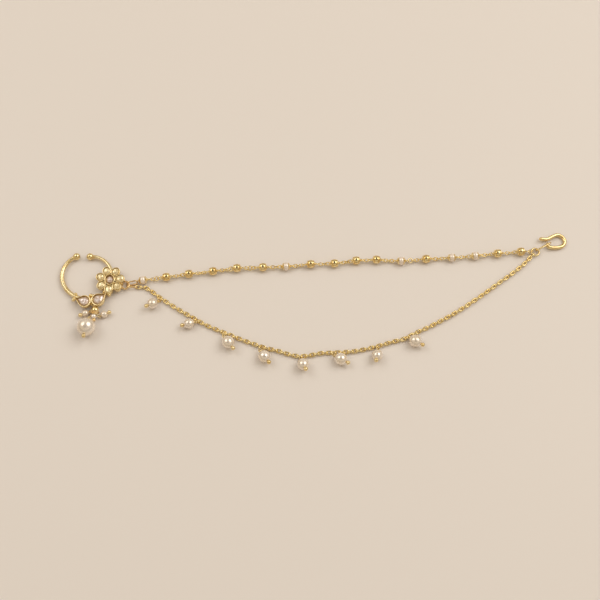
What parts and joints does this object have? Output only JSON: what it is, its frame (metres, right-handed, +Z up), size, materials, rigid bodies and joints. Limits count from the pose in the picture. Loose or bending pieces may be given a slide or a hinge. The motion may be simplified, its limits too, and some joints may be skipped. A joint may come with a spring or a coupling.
{
  "type": "nath nose ring",
  "caption": "Open gold hoop with a stone-set flower and teardrops, a pearl cluster, a beaded strand and a pearl-hung chain that end in a hair hook.",
  "frame": {"origin": "under the middle of the jewel's bounding box, on the surface it lies on", "axes": "+X along the jewel from the hoop to the hair hook, +Y towards the hoop's opening, +Z up from the surface"},
  "size_m": [0.2086, 0.061, 0.0074],
  "materials": {
    "gold": "polished pale gold plating",
    "pearl": "cream pearl lustre",
    "champagne_stone": "foiled champagne stone",
    "clear_stone": "clear stone over dark foil"
  },
  "bodies": {
    "root": {"nose_ring": "gold", "cluster_bead": "gold", "cluster_left_pin": "gold", "cluster_right_pin": "gold", "large_pin": "gold", "connector_ring": "gold", "end_ring": "gold", "strand_link": "gold", "chain_link": "gold", "hook_link": "gold", "strand_thread": "gold", "cable_chain": "gold", "hook": "gold", "drop_1_pin": "gold", "drop_2_pin": "gold", "drop_3_pin": "gold", "drop_4_pin": "gold", "drop_5_pin": "gold", "drop_6_pin": "gold", "drop_7_pin": "gold", "drop_8_pin": "gold", "strand_bead_1": "gold", "strand_bead_2": "gold", "strand_bead_3": "gold", "strand_bead_4": "gold", "strand_bead_5": "gold", "strand_bead_6": "gold", "strand_bead_7": "gold", "strand_bead_8": "gold", "strand_bead_9": "gold", "strand_bead_10": "gold", "strand_bead_11": "gold", "strand_bead_12": "gold", "strand_bead_13": "gold", "strand_bead_14": "gold", "strand_bead_15": "gold", "strand_bead_16": "gold", "strand_bead_17": "gold", "cluster_left_pearl": "pearl", "cluster_right_pearl": "pearl", "large_pearl": "pearl", "cluster_bottom_drop": "pearl", "drop_1_pearl": "pearl", "drop_2_pearl": "pearl", "drop_3_pearl": "pearl", "drop_4_pearl": "pearl", "drop_5_pearl": "pearl", "drop_6_pearl": "pearl", "drop_7_pearl": "pearl", "drop_8_pearl": "pearl", "petal_stone_1": "champagne_stone", "petal_stone_2": "champagne_stone", "petal_stone_3": "champagne_stone", "petal_stone_4": "champagne_stone", "petal_stone_5": "champagne_stone", "petal_stone_6": "champagne_stone", "petal_stone_7": "champagne_stone", "centre_stone": "clear_stone", "teardrop_stone_left": "clear_stone", "teardrop_stone_right": "clear_stone"}
  },
  "joints": []
}
